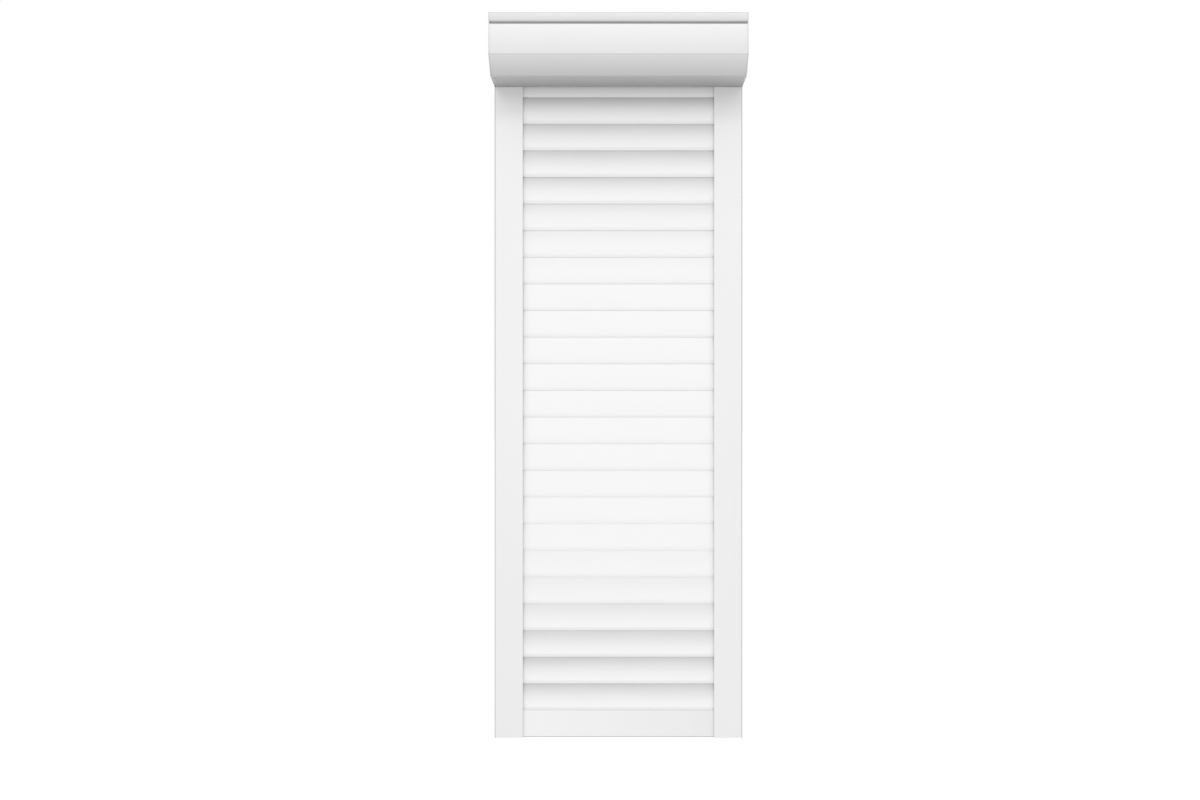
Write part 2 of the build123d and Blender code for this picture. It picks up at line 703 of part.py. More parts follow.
def slat_cavity(v0, v1):
    """The room inside the slat's skin between two levels."""
    return Pos(SLAT_SKIN, 0) * slat_outline() & rectangle(-HALF_THICKNESS, SKIN_BACK, v0, v1)


def slat_chamber():
    return slat_cavity(POCKET_HEIGHT, SLAT_PITCH - FIT_GAP - SLAT_SKIN)


def hook(level):
    """The hook that stands on a slat's or the bar's top line."""
    top = level + HOOK_HEIGHT
    face = rectangle(NECK_FRONT, NECK_BACK, level, top)
    face += rectangle(DROP_FRONT, NECK_BACK, top - SLAT_SKIN, top)
    return face + rectangle(DROP_FRONT, DROP_BACK, level + HOOK_DROP, top)


def slat(base_z):
    section = slat_outline() - slat_chamber() - slat_cavity(SLAT_SKIN, POCKET_HEIGHT - SLAT_SKIN)
    section -= rectangle(HANGER_BACK, SKIN_BACK, 0, SLAT_SKIN)
    section += rectangle(HANGER_FRONT, HANGER_BACK, 0, HANGER_HEIGHT)
    section += hook(SLAT_PITCH - FIT_GAP)
    return along_x(Pos(SLAT_Y, base_z) * section, -SLAT_HALF, SLAT_HALF)


def slat_levels():
    """Heights of the slats' bottom lines, from the lowest slat up."""
    return [BAR_HEIGHT + i * SLAT_PITCH for i in range(SLAT_COUNT)]


def end_locks():
    """One lock in each end of every slat: a plate over the end, and a plug in the chamber."""
    span = rectangle(-HALF_THICKNESS, HALF_THICKNESS, LOCK_MARGIN, SLAT_PITCH - LOCK_MARGIN)
    plate = slat_outline() & span
    plug = offset(slat_chamber() & span, -FIT_GAP)
    lock = along_x(plate, SLAT_HALF, SLAT_HALF + LOCK_PLATE)
    lock += along_x(plug, SLAT_HALF - LOCK_PLUG, SLAT_HALF)
    locks = []
    for level in slat_levels():
        locks.extend(both_sides(Pos(0, SLAT_Y, level) * lock))
    return locks


def bar_levels():
    """Levels in the bottom bar: above the seal's slot, above its head, and under and over the top wall."""
    slot_top = SEAL_FOOT + BAR_WALL
    head_top = slot_top + SEAL_HEAD_HEIGHT
    bar_top = BAR_HEIGHT - FIT_GAP
    return slot_top, head_top, bar_top - BAR_WALL, bar_top


def bottom_bar():
    slot_top, head_top, chamber_top, bar_top = bar_levels()
    section = rectangle(-HALF_THICKNESS, HALF_THICKNESS, SEAL_FOOT, bar_top)
    section = fillet(section.vertices(), BAR_CORNER)
    inner_half = HALF_THICKNESS - BAR_WALL
    section -= rectangle(-inner_half, inner_half, head_top + BAR_WALL, chamber_top)
    section -= rectangle(-SEAL_SLOT / 2, SEAL_SLOT / 2, SEAL_FOOT, slot_top)
    section -= rectangle(-SEAL_HEAD_WIDTH / 2, SEAL_HEAD_WIDTH / 2, slot_top, head_top)
    section += hook(bar_top)
    return along_x(Pos(SLAT_Y, 0) * section, -SLAT_HALF, SLAT_HALF)


def bottom_seal():
    slot_top, head_top, _, _ = bar_levels()
    stem_half = SEAL_SLOT / 2 - FIT_GAP
    head_half = SEAL_HEAD_WIDTH / 2 - FIT_GAP
    section = rectangle(-SEAL_FOOT_WIDTH / 2, SEAL_FOOT_WIDTH / 2, 0, SEAL_FOOT)
    section += rectangle(-stem_half, stem_half, SEAL_FOOT, slot_top)
    section += rectangle(-head_half, head_half, slot_top, head_top - FIT_GAP)
    return along_x(Pos(SLAT_Y, 0) * section, -SLAT_HALF, SLAT_HALF)


def bar_stops():
    plug_half = HALF_THICKNESS - BAR_WALL - FIT_GAP
    head_half = CHANNEL_HALF - FIT_GAP
    top_z = STOP_LEVEL + STOP_HEIGHT
    stop = block(
        SLAT_HALF - STOP_PLUG, SLAT_HALF, SLAT_Y - plug_half, SLAT_Y + plug_half, STOP_LEVEL, top_z
    )
    stop += block(
        SLAT_HALF, SLAT_HALF + STOP_REACH, SLAT_Y - head_half, SLAT_Y + head_half, STOP_LEVEL, top_z
    )
    return both_sides(stop)


os.makedirs("parts", exist_ok=True)

save("box_rear_shell", rear_shell())
save("revision_cover", revision_cover())
save("cover_screws", cover_screws())
save("side_cap_right", side_cap())
save("side_cap_left", mirrored(side_cap()))
save("cable_grommet", cable_grommet())
save("bearing_holder", bearing_holder())
save("motor_bracket", motor_bracket())
save("bracket_screws", bracket_screws())

save("bearing_outer_ring", race(BEARING_RADIUS - RACE_WALL, BEARING_RADIUS))
save("bearing_inner_ring", race(PIN_RADIUS + RUNNING_GAP, PIN_RADIUS + RACE_WALL))
save("bearing_balls", bearing_balls())
save("idler_capsule", idler_capsule())
save("idler_pin", idler_pin())

save("shaft_tube", shaft_tube())
save("strap_rings", strap_rings())
save("spring_straps", spring_straps())

save("motor_tube", motor_tube())
save("motor_drive_unit", motor_drive_unit())
save("motor_head", motor_head())
save("crown_adapter", crown_adapter())
save("drive_adapter", drive_adapter())
save("output_pin", output_pin())

save("rail_base_right", rail_base())
save("rail_base_left", mirrored(rail_base()))
save("rail_cover_right", rail_cover())
save("rail_cover_left", mirrored(rail_cover()))
save("rail_inserts", sliding_inserts())
save("rail_plugs", rail_plugs())
save("inlet_guide_right", inlet_guide())
save("inlet_guide_left", mirrored(inlet_guide()))

for number, level in enumerate(slat_levels(), start=1):
    save(f"slat_{number:02d}", slat(level))
save("slat_end_locks", end_locks())
save("bottom_bar", bottom_bar())
save("bottom_seal", bottom_seal())
save("bar_stops", bar_stops())
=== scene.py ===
import json
import math

import bmesh
import bpy
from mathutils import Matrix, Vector


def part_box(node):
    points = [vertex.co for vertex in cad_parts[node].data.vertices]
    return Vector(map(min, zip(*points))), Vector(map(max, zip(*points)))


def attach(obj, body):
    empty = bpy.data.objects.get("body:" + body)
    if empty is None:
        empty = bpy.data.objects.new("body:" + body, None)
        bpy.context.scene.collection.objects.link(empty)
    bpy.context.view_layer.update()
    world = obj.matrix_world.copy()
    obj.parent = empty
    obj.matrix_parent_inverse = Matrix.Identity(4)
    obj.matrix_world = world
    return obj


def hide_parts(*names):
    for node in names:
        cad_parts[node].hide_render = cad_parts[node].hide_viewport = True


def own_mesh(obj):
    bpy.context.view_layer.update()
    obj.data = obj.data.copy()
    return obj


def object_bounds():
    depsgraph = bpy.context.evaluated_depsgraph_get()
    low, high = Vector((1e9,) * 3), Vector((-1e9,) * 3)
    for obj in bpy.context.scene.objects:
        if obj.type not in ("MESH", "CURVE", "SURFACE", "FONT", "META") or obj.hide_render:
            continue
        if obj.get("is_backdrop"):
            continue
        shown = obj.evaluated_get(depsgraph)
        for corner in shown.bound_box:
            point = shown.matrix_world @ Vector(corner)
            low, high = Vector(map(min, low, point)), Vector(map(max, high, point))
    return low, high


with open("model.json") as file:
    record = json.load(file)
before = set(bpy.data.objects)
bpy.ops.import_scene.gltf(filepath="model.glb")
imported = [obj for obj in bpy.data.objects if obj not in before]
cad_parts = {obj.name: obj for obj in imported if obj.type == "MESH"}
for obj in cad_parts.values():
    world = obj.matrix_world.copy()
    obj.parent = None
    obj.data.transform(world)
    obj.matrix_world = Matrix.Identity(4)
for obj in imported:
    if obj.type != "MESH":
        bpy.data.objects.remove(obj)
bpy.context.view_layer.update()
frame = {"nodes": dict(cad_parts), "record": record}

# An exterior roller shutter with a built-on box, closed, on a white ground.
# Metres, in the frame of the loaded model: +Z up, -Y out of the front, the sill at zero.

MM = 0.001

# The box's lip, the groove under it and the chamfer below its front, how far painted shade reaches past an
# edge, half the width of the painted shade line on the fold, and how far the groove's painted shadow stays
# off its ends
LIP_HEIGHT = 29.0 * MM
GROOVE_HEIGHT = 6.5 * MM
GROOVE_DEPTH = 8.1 * MM
BOX_CHAMFER = 52.0 * MM
SHADE_MARGIN = 2.0 * MM
FOLD_LINE = 1.5 * MM
GROOVE_END = 1.0 * MM

# Edges of the box's top, of its end caps and of the rail covers, measured in from their outer faces, and how
# far painted shade keeps from the clean faces beside them
TOP_EDGE = 3.0 * MM
CAP_EDGE = 1.6 * MM
RAIL_EDGE = 3.0 * MM
EDGE_MARGIN = 0.15 * MM

# Slat section: u runs across the thickness from its middle, v up from the slat's bottom line. Headings are
# in degrees from the u axis
SLAT_NODES = sorted(name for name in frame["nodes"] if name.startswith("slat_") and name[-1].isdigit())
SLAT_PITCH = 86.2 * MM
SLAT_HALF_THICKNESS = 5.0 * MM
SLAT_SKIN = 1.0 * MM
SLAT_PLAY = 0.3 * MM
SLAT_TOP = SLAT_PITCH - SLAT_PLAY
NOSE_HEIGHT = 10.0 * MM
NOSE_TUCK = 2.3 * MM
NOSE_LEAN = 11.0
UPRIGHT = 90.0
TOP_RECESS = 4.0 * MM
BACK_RADIUS = 0.8 * MM
POCKET_HEIGHT = 13.0 * MM
HANGER_HEIGHT = 4.0 * MM
HOOK_HEIGHT = 9.0 * MM
HOOK_DROP = 4.5 * MM
HOOK_PLAY = 0.7 * MM
FACE_STEPS = 28
NOSE_STEPS = 12

# Locks in the slats' ends
LOCK_PLATE = 5.0 * MM
LOCK_PLUG = 16.0 * MM
LOCK_MARGIN = 16.0 * MM
LOCK_BEVEL = 0.5 * MM

# Spring straps
STRAP_WIDTH = 20.0 * MM
STRAP_THICKNESS = 0.8 * MM
STRAP_BEND_SHARE = 0.7
STRAP_STEPS = 16
STRAP_PLACE_SHARES = (0.0, 0.5, 1.0)

# Edges that turn by more than these angles, in degrees, are sharp on drawn pieces and rounded on moulded ones
DRAWN_ANGLE = 25.0
MOULDED_ANGLE = 40.0
BEVEL_SEGMENTS = 2
BEVEL_PROFILE = 0.6
WELD_DISTANCE = 0.001 * MM

# Camera: straight on and level, at about half the height, with the photograph's small sideways shift
CAMERA_DISTANCE = 3.2
CAMERA_HEIGHT = 1.09
CAMERA_LENS = 29.76
SENSOR_WIDTH = 36.0
CAMERA_SHIFT_X = -0.0154
CAMERA_TILT = 90.0

# Floor and light. A lamp is a name, its azimuth, elevation and spread in degrees, its strength, and whether
# it shows in reflections
FLOOR_SIZE = 60.0
FLOOR_LEVEL = 0.85
FLOOR_GLOW = 0.85
FLOOR_VEIL = (0.25, 0.25, 0.25)
SKY_LEVEL = 0.37
WHITE = (1.0, 1.0, 1.0, 1.0)
LAMPS = [
    ("high_lamp", -8.0, 46.0, 70.0, 1.08, True),
    ("low_lamp", 6.0, 8.0, 80.0, 0.4, False),
    ("back_lamp", 172.0, 10.0, 90.0, 1.35, True),
    ("right_lamp", 88.0, 20.0, 80.0, 0.72, False),
    ("left_lamp", -88.0, 20.0, 80.0, 0.72, False),
]


# Node trees

NOISE_DETAIL = 4.0
NOISE_ROUGHNESS = 0.55


def new_material(name):
    material = bpy.data.materials.new(name)
    material.use_nodes = True
    return material, material.node_tree, material.node_tree.nodes["Principled BSDF"]


def add(tree, kind, **settings):
    node = tree.nodes.new(kind)
    for key, value in settings.items():
        setattr(node, key, value)
    return node


def place(tree):
    """The surface's own place in the loaded model's frame, in metres."""
    return add(tree, "ShaderNodeTexCoord").outputs["Object"]


def parts_of(tree, vector):
    node = add(tree, "ShaderNodeSeparateXYZ")
    tree.links.new(vector, node.inputs["Vector"])
    return node.outputs["X"], node.outputs["Y"], node.outputs["Z"]


def stretched(tree, vector, scale):
    mapping = add(tree, "ShaderNodeMapping")
    mapping.inputs["Scale"].default_value = scale
    tree.links.new(vector, mapping.inputs["Vector"])
    return mapping.outputs["Vector"]


def noise(tree, vector, scale, detail=NOISE_DETAIL, roughness=NOISE_ROUGHNESS):
    node = add(tree, "ShaderNodeTexNoise")
    node.inputs["Scale"].default_value = scale
    node.inputs["Detail"].default_value = detail
    node.inputs["Roughness"].default_value = roughness
    tree.links.new(vector, node.inputs["Vector"])
    return node.outputs["Fac"]


def ranged(tree, value, low, high, to_low, to_high):
    node = add(tree, "ShaderNodeMapRange", clamp=True)
    node.inputs["From Min"].default_value = low
    node.inputs["From Max"].default_value = high
    node.inputs["To Min"].default_value = to_low
    node.inputs["To Max"].default_value = to_high
    tree.links.new(value, node.inputs["Value"])
    return node.outputs["Result"]


def math_node(tree, operation, a, b=None):
    node = add(tree, "ShaderNodeMath", operation=operation)
    for socket, value in zip(node.inputs, (a, b)):
        if value is None:
            continue
        if isinstance(value, (int, float)):
            socket.default_value = value
        else:
            tree.links.new(value, socket)
    return node.outputs["Value"]


def mixed(tree, share, colour_a, colour_b):
    node = add(tree, "ShaderNodeMix", data_type="RGBA")
    tree.links.new(share, node.inputs["Factor"])
    for socket, colour in ((node.inputs["A"], colour_a), (node.inputs["B"], colour_b)):
        if isinstance(colour, tuple):
            socket.default_value = (*colour, 1.0)
        else:
            tree.links.new(colour, socket)
    return node.outputs["Result"]


def around(middle, spread):
    """The ends of a range that reaches by a spread below and above its middle."""
    return middle - spread[0], middle + spread[1]


def clear_coat(shader, weight, roughness):
    shader.inputs["Coat Weight"].default_value = weight
    shader.inputs["Coat Roughness"].default_value = roughness


def bump(tree, shader, height, strength, distance):
    node = add(tree, "ShaderNodeBump")
    node.inputs["Strength"].default_value = strength
    node.inputs["Distance"].default_value = distance
    tree.links.new(height, node.inputs["Height"])
    tree.links.new(node.outputs["Normal"], shader.inputs["Normal"])


def times(tree, value, *others):
    """The product of two or more shares."""
    for other in others:
        value = math_node(tree, "MULTIPLY", value, other)
    return value


def most(tree, value, *others):
    """The largest of two or more shares."""
    for other in others:
        value = math_node(tree, "MAXIMUM", value, other)
    return value


def near(tree, value, middle, reach):
    """One where a value is within reach of a middle, and zero elsewhere."""
    node = add(tree, "ShaderNodeMath", operation="COMPARE")
    tree.links.new(value, node.inputs[0])
    node.inputs[1].default_value = middle
    node.inputs[2].default_value = reach
    return node.outputs["Value"]


def band(tree, value, start, end, shares):
    """A share that changes evenly from the start of a band to its end, and is zero outside it."""
    inside = near(tree, value, (start + end) / 2, abs(end - start) / 2)
    return times(tree, ranged(tree, value, start, end, *shares), inside)


def end_edges(tree, x, outer, width, share):
    """A share on the rounded edges beside both outer faces, and none on the faces themselves."""
    reach = (width - EDGE_MARGIN) / 2
    strip = near(tree, math_node(tree, "ABSOLUTE", x), outer - EDGE_MARGIN - reach, reach)
    return times(tree, strip, share)


# Materials

WHITE_LACQUER = (0.92, 0.92, 0.92)
WHITE_SHADE = (0.9, 0.9, 0.9)
# The grey of painted shade on the box and rails, and of the rails' even dust
PAINTED_SHADE_AND_DUST = (0.3, 0.3, 0.3)
SLAT_WHITE = (0.93, 0.93, 0.93)
# The slats' grey for painted shade and for patches of dirt
SLAT_SHADE_AND_SOIL = (0.54, 0.54, 0.54)

# Shares of painted shade, from the top to the bottom of the lip, of the front, of the chamfer and of the rest
LIP_SHADE = (0.1, 0.4)
FRONT_SHADE = (0.02, 0.25)
CHAMFER_SHADE = (0.2, 0.56)
BOX_REST_SHADE = (0.015, 0.09)

# Shares of painted shade on top of the box and on its front top edge, of painted shadow in the groove, and of
# painted shade on the fold, underneath from the front to the rails, and on the rounded edges of its ends
TOP_SHADE = 0.23
TOP_EDGE_SHADE = 0.38
GROOVE_SHADOW = 0.6
FOLD_SHADE = 0.4
UNDER_SHADE = (0.64, 0.95)
CAP_EDGE_SHADE = 0.19

# Shares on the rails: painted shadow in the lee of the box and right under it, even dust elsewhere, and
# painted shade at their foot and on their outer edges
RAIL_LEE_SHADOW = 0.17
RAIL_TOP_SHADOW = 0.06
RAIL_DUST = 0.06
RAIL_FOOT_SHADE = 0.13
RAIL_EDGE_SHADE = 0.8

# Shares of painted shade on the bottom bar, from its left end to its right: a painted gradient of light
BAR_GRADIENT_SHADE = (0.03, 0.15)

# How far below the box the rails carry the painted shadow: from, fading from, and to; and how far above
# the sill they carry painted shade at their foot
RAIL_LEE = (0.045, 0.08, 0.125)
RAIL_FOOT_REACH = 1.1

# The slats' painted shade fades out around a middle height, as if brightly lit there, and a painted shadow
# reaches in from their ends in the rails
BRIGHT_MIDDLE_HEIGHT = 1.065
BRIGHT_MIDDLE_NEAR = 0.35
BRIGHT_MIDDLE_FAR = 0.76
BRIGHT_MIDDLE_SHARE = 0.55
SLAT_END_REACH = 0.022

# Shares of painted shadow on the slats' ends, of painted shade on their noses, of painted shadow in the joint
# above the bottom bar and of dirt in patches, and how far that joint's painted shadow reaches up and down
SLAT_END_SHADOW = 0.2
NOSE_SHADE = 0.16
BAR_JOINT_SHADOW = 0.4
PATCH_SOIL = 0.04
BAR_JOINT = 1.5 * MM

# Parts of a noise's range that a change of tone or gloss is spread over
NOISE_RANGE = (0.3, 0.7)
CLOUD_RANGE = (0.35, 0.7)
PATCH_RANGE = (0.35, 0.75)
STREAK_RANGE = (0.25, 0.75)

# Clouds of tone, haze in the gloss and the fine skin of a coating. A scale is in waves a metre, a spread is
# how far roughness goes below and above its middle, and a clear coat is its weight and its roughness
CLOUD_SCALE = 3.0
CLOUD_DETAIL = 6.0
HAZE_SCALE = 45.0
HAZE_DETAIL = 3.0
SKIN_DETAIL = 2.0
SKIN_ROUGHNESS = 0.5
COATING_SPREAD = (0.04, 0.05)
COATING_BUMP = 0.35
COATING_CLEAR_COAT = (0.12, 0.3)

# Slats: how steeply painted shade gathers towards a joint and away from the bright middle height, its patches
# and streaks, and the marks of rolling
JOINT_SHADE_POWER = 1.9
BRIGHT_MIDDLE_POWER = 5.0
PATCH_STRETCH = (2.0, 1.0, 9.0)
PATCH_SCALE = 2.2
PATCH_DETAIL = 5.0
STREAK_SHARES = (0.85, 1.0)
SLAT_HAZE_STRETCH = (0.3, 1.0, 1.0)
SLAT_HAZE_SCALE = 60.0
SLAT_ROUGHNESS = (0.34, 0.44)
ROLL_STRETCH = (0.06, 1.0, 1.0)
ROLL_SCALE = 260.0
ROLL_BUMP = 0.25
ROLL_DEPTH = 0.06 * MM
SLAT_CLEAR_COAT = (0.1, 0.32)

# Zinc crystals, the marks on bare metal and the skin of mouldings
ZINC_LIGHT = (0.62, 0.64, 0.66)
ZINC_DARK = (0.48, 0.5, 0.53)
ZINC_ROUGHNESS = (0.34, 0.52)
CRYSTAL_SCALE = 130.0
ZINC_GRAIN = 420.0
ZINC_BUMP = 0.2
ZINC_DEPTH = 0.05 * MM
METAL_SPREAD = (0.08, 0.1)
METAL_BUMP = 0.3
METAL_DEPTH = 0.04 * MM
MOULDING_CLOUD_SCALE = 28.0
MOULDING_CLOUD_DETAIL = 5.0
MOULDING_SPREAD = (0.06, 0.06)
MOULDING_BUMP = 0.4


def box_painted_shade(tree, where):
    """Painted shade on the box: darker down its faces, in the groove, on top, underneath and at its ends."""
    x, y, z = parts_of(tree, where)
    low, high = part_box("box_rear_shell")
    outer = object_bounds()[1][0]
    lip_z = high.z - LIP_HEIGHT
    groove_z = lip_z - GROOVE_HEIGHT
    fold_z = low.z + BOX_CHAMFER
    rail_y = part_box("rail_cover_right")[0].y
    # Painted shade: darker down the lip, the front and the chamfer, with a painted shade line on the fold
    lip = band(tree, z, high.z, lip_z, LIP_SHADE)
    front = band(tree, z, groove_z, fold_z, FRONT_SHADE)
    chamfer = band(tree, z, fold_z, low.z, CHAMFER_SHADE)
    fold = times(tree, near(tree, z, fold_z, FOLD_LINE), FOLD_SHADE)
    sideways = math_node(tree, "ABSOLUTE", x)
    in_front = math_node(tree, "LESS_THAN", y, rail_y)
    inside_ends = math_node(tree, "LESS_THAN", sideways, outer - EDGE_MARGIN)
    off_the_wall = math_node(tree, "LESS_THAN", y, high.y - EDGE_MARGIN)
    front_shade = times(tree, most(tree, lip, front, chamfer, fold), in_front, inside_ends)
    # Painted shade, darker towards the bottom, over the rest of the box
    rest = ranged(tree, z, high.z, low.z, *BOX_REST_SHADE)
    # Painted shade on the top and on its front edge
    on_top = math_node(tree, "GREATER_THAN", z, high.z - TOP_EDGE)
    at_front = math_node(tree, "LESS_THAN", y, low.y + TOP_EDGE)
    top = most(tree, times(tree, on_top, TOP_SHADE), times(tree, on_top, at_front, TOP_EDGE_SHADE))
    # Painted shade underneath
    under = ranged(tree, y, low.y + BOX_CHAMFER, rail_y, *UNDER_SHADE)
    under = times(tree, under, near(tree, z, low.z, SHADE_MARGIN), inside_ends, off_the_wall)
    # Painted shadow in the groove
    in_groove = near(tree, z, (lip_z + groove_z) / 2, GROOVE_HEIGHT / 2 + SHADE_MARGIN)
    behind = near(tree, y, low.y + SHADE_MARGIN + GROOVE_DEPTH / 2, GROOVE_DEPTH / 2)
    between_caps = math_node(tree, "LESS_THAN", sideways, high.x - GROOVE_END)
    groove = times(tree, in_groove, behind, between_caps, GROOVE_SHADOW)
    # Painted shade on the rounded edges of the ends
    ends = end_edges(tree, x, outer, CAP_EDGE, CAP_EDGE_SHADE)
    return most(tree, front_shade, rest, top, under, groove, ends)


def rail_painted_shade(tree, where):
    """Rails' even dust, and painted shade below the box, at their foot, on their edges and along the bar.
    Back clean.
    """
    x, y, z = parts_of(tree, where)
    off_the_wall = math_node(tree, "LESS_THAN", y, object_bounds()[1][1] - EDGE_MARGIN)
    low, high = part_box("rail_cover_right")
    # Painted shadow of the box on the rails, and painted shade towards their foot, over even dust
    near_box, fading, clear = (high.z - reach for reach in RAIL_LEE)
    corner = ranged(tree, z, near_box, high.z, RAIL_LEE_SHADOW, RAIL_TOP_SHADOW)
    lee = math_node(tree, "MINIMUM", corner, ranged(tree, z, clear, fading, RAIL_DUST, RAIL_LEE_SHADOW))
    foot_shade = ranged(tree, z, RAIL_FOOT_REACH, 0.0, RAIL_DUST, RAIL_FOOT_SHADE)
    on_rails = math_node(tree, "GREATER_THAN", math_node(tree, "ABSOLUTE", x), low.x)
    rails = times(tree, most(tree, lee, foot_shade), on_rails)
    # A painted gradient of light along the bar, darker towards its right end
    bar = band(tree, x, -low.x, low.x, BAR_GRADIENT_SHADE)
    # Painted shade on the rails' rounded outer edges
    edges = end_edges(tree, x, high.x, RAIL_EDGE, RAIL_EDGE_SHADE)
    return times(tree, most(tree, rails, bar, edges), off_the_wall)


def coating(name, painted_shade, roughness, grain, depth, stretch):
    """Baked white lacquer: a fine skin, faint clouding in tone and gloss, and painted shade over it."""
    material, tree, shader = new_material(name)
    where = place(tree)
    cloud = noise(tree, stretched(tree, where, stretch), CLOUD_SCALE, detail=CLOUD_DETAIL)
    tone = ranged(tree, cloud, *CLOUD_RANGE, 0.0, 1.0)
    clean = mixed(tree, tone, WHITE_LACQUER, WHITE_SHADE)
    # Painted shade, and on the rails an even dust, mixed over the clean colour
    tree.links.new(mixed(tree, painted_shade(tree, where), clean, PAINTED_SHADE_AND_DUST), shader.inputs["Base Color"])
    haze = noise(tree, stretched(tree, where, stretch), HAZE_SCALE, detail=HAZE_DETAIL)
    gloss = ranged(tree, haze, *NOISE_RANGE, *around(roughness, COATING_SPREAD))
    tree.links.new(gloss, shader.inputs["Roughness"])
    skin = noise(tree, where, grain, detail=SKIN_DETAIL, roughness=SKIN_ROUGHNESS)
    bump(tree, shader, skin, COATING_BUMP, depth)
    clear_coat(shader, *COATING_CLEAR_COAT)
    return material


def slat_coating():
    """The rolled slats' coating, with painted shade that gathers under each joint and fades out below it."""
    material, tree, shader = new_material("slat_lacquer")
    where = place(tree)
    x, y, z = parts_of(tree, where)
    low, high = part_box(SLAT_NODES[0])
    mouth_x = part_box("rail_cover_right")[0].x
    above_bar = math_node(tree, "SUBTRACT", z, low.z)
    level = math_node(tree, "FRACT", math_node(tree, "DIVIDE", above_bar, SLAT_PITCH))
    # Painted shade, darkest just under the joint above and fading down each slat
    painted_shade = math_node(tree, "POWER", level, JOINT_SHADE_POWER)
    # Less painted shade around the middle height, as if brightly lit there
    away = math_node(tree, "ABSOLUTE", math_node(tree, "SUBTRACT", z, BRIGHT_MIDDLE_HEIGHT))
    kept = ranged(tree, away, BRIGHT_MIDDLE_NEAR, BRIGHT_MIDDLE_FAR, BRIGHT_MIDDLE_SHARE, 1.0)
    kept = math_node(tree, "POWER", kept, BRIGHT_MIDDLE_POWER)
    patches = noise(tree, stretched(tree, where, PATCH_STRETCH), PATCH_SCALE, detail=PATCH_DETAIL)
    streaks = ranged(tree, patches, *STREAK_RANGE, *STREAK_SHARES)
    on_slats = math_node(tree, "GREATER_THAN", above_bar, -SLAT_PLAY / 2)
    outside = math_node(tree, "LESS_THAN", y, (low.y + high.y) / 2)
    sideways = math_node(tree, "ABSOLUTE", x)
    # Painted shadow by the rails, and painted shade on the noses
    ends = ranged(tree, sideways, mouth_x - SLAT_END_REACH, mouth_x, 0.0, SLAT_END_SHADOW)
    on_nose = math_node(tree, "LESS_THAN", level, NOSE_HEIGHT / SLAT_PITCH)
    noses = times(tree, on_nose, kept, NOSE_SHADE)
    shade_and_soil = times(tree, most(tree, times(tree, painted_shade, kept, streaks), noses, ends), on_slats)
    # Painted shadow in the joint above the bar
    bar_joint = times(tree, near(tree, above_bar, 0.0, BAR_JOINT), BAR_JOINT_SHADOW)
    blotches = ranged(tree, patches, *PATCH_RANGE, 0.0, PATCH_SOIL)
    shade_and_soil = most(tree, times(tree, most(tree, shade_and_soil, bar_joint), outside), blotches)
    tree.links.new(mixed(tree, shade_and_soil, SLAT_WHITE, SLAT_SHADE_AND_SOIL), shader.inputs["Base Color"])
    haze = noise(tree, stretched(tree, where, SLAT_HAZE_STRETCH), SLAT_HAZE_SCALE, detail=HAZE_DETAIL)
    tree.links.new(ranged(tree, haze, *NOISE_RANGE, *SLAT_ROUGHNESS), shader.inputs["Roughness"])
    rolled = noise(tree, stretched(tree, where, ROLL_STRETCH), ROLL_SCALE, detail=SKIN_DETAIL)
    bump(tree, shader, rolled, ROLL_BUMP, ROLL_DEPTH)
    clear_coat(shader, *SLAT_CLEAR_COAT)
    return material


def bare_metal(name, colour, shade, roughness, scale, stretch):
    """Uncoated metal with fine marks drawn out along one direction."""
    material, tree, shader = new_material(name)
    where = place(tree)
    drawn = noise(tree, stretched(tree, where, stretch), scale)
    tone = ranged(tree, drawn, *NOISE_RANGE, 0.0, 1.0)
    tree.links.new(mixed(tree, tone, colour, shade), shader.inputs["Base Color"])
    gloss = ranged(tree, drawn, *NOISE_RANGE, *around(roughness, METAL_SPREAD))
    tree.links.new(gloss, shader.inputs["Roughness"])
    shader.inputs["Metallic"].default_value = 1.0
    bump(tree, shader, drawn, METAL_BUMP, METAL_DEPTH)
    return material


def galvanised(name):
    """Hot-dipped zinc: a patchwork of dull crystals a few millimetres across."""
    material, tree, shader = new_material(name)
    where = place(tree)
    crystals = add(tree, "ShaderNodeTexVoronoi")
    crystals.inputs["Scale"].default_value = CRYSTAL_SCALE
    tree.links.new(where, crystals.inputs["Vector"])
    cell = add(tree, "ShaderNodeSeparateColor")
    tree.links.new(crystals.outputs["Color"], cell.inputs["Color"])
    tree.links.new(mixed(tree, cell.outputs["Red"], ZINC_LIGHT, ZINC_DARK), shader.inputs["Base Color"])
    gloss = ranged(tree, cell.outputs["Green"], 0.0, 1.0, *ZINC_ROUGHNESS)
    tree.links.new(gloss, shader.inputs["Roughness"])
    shader.inputs["Metallic"].default_value = 1.0
    bump(tree, shader, noise(tree, where, ZINC_GRAIN), ZINC_BUMP, ZINC_DEPTH)
    return material


def moulded(name, colour, shade, roughness, grain, depth):
    """Moulded plastic or rubber: a fine eroded skin, a little clouded in tone."""
    material, tree, shader = new_material(name)
    where = place(tree)
    cloud = noise(tree, where, MOULDING_CLOUD_SCALE, detail=MOULDING_CLOUD_DETAIL)
    tone = ranged(tree, cloud, *NOISE_RANGE, 0.0, 1.0)
    tree.links.new(mixed(tree, tone, colour, shade), shader.inputs["Base Color"])
    skin = noise(tree, where, grain, detail=SKIN_DETAIL)
    gloss = ranged(tree, skin, *NOISE_RANGE, *around(roughness, MOULDING_SPREAD))
    tree.links.new(gloss, shader.inputs["Roughness"])
    bump(tree, shader, skin, MOULDING_BUMP, depth)
    return material


# A coating is its name, its painted shade, its middle roughness, the scale and depth of its skin,
# and its stretch
COATINGS = {
    "box_coating": ("box_powder_coat", box_painted_shade, 0.4, 900.0, 0.04 * MM, (1.0, 1.0, 1.0)),
    "rail_coating": ("rail_powder_coat", rail_painted_shade, 0.42, 1000.0, 0.04 * MM, (1.0, 1.0, 0.15)),
}

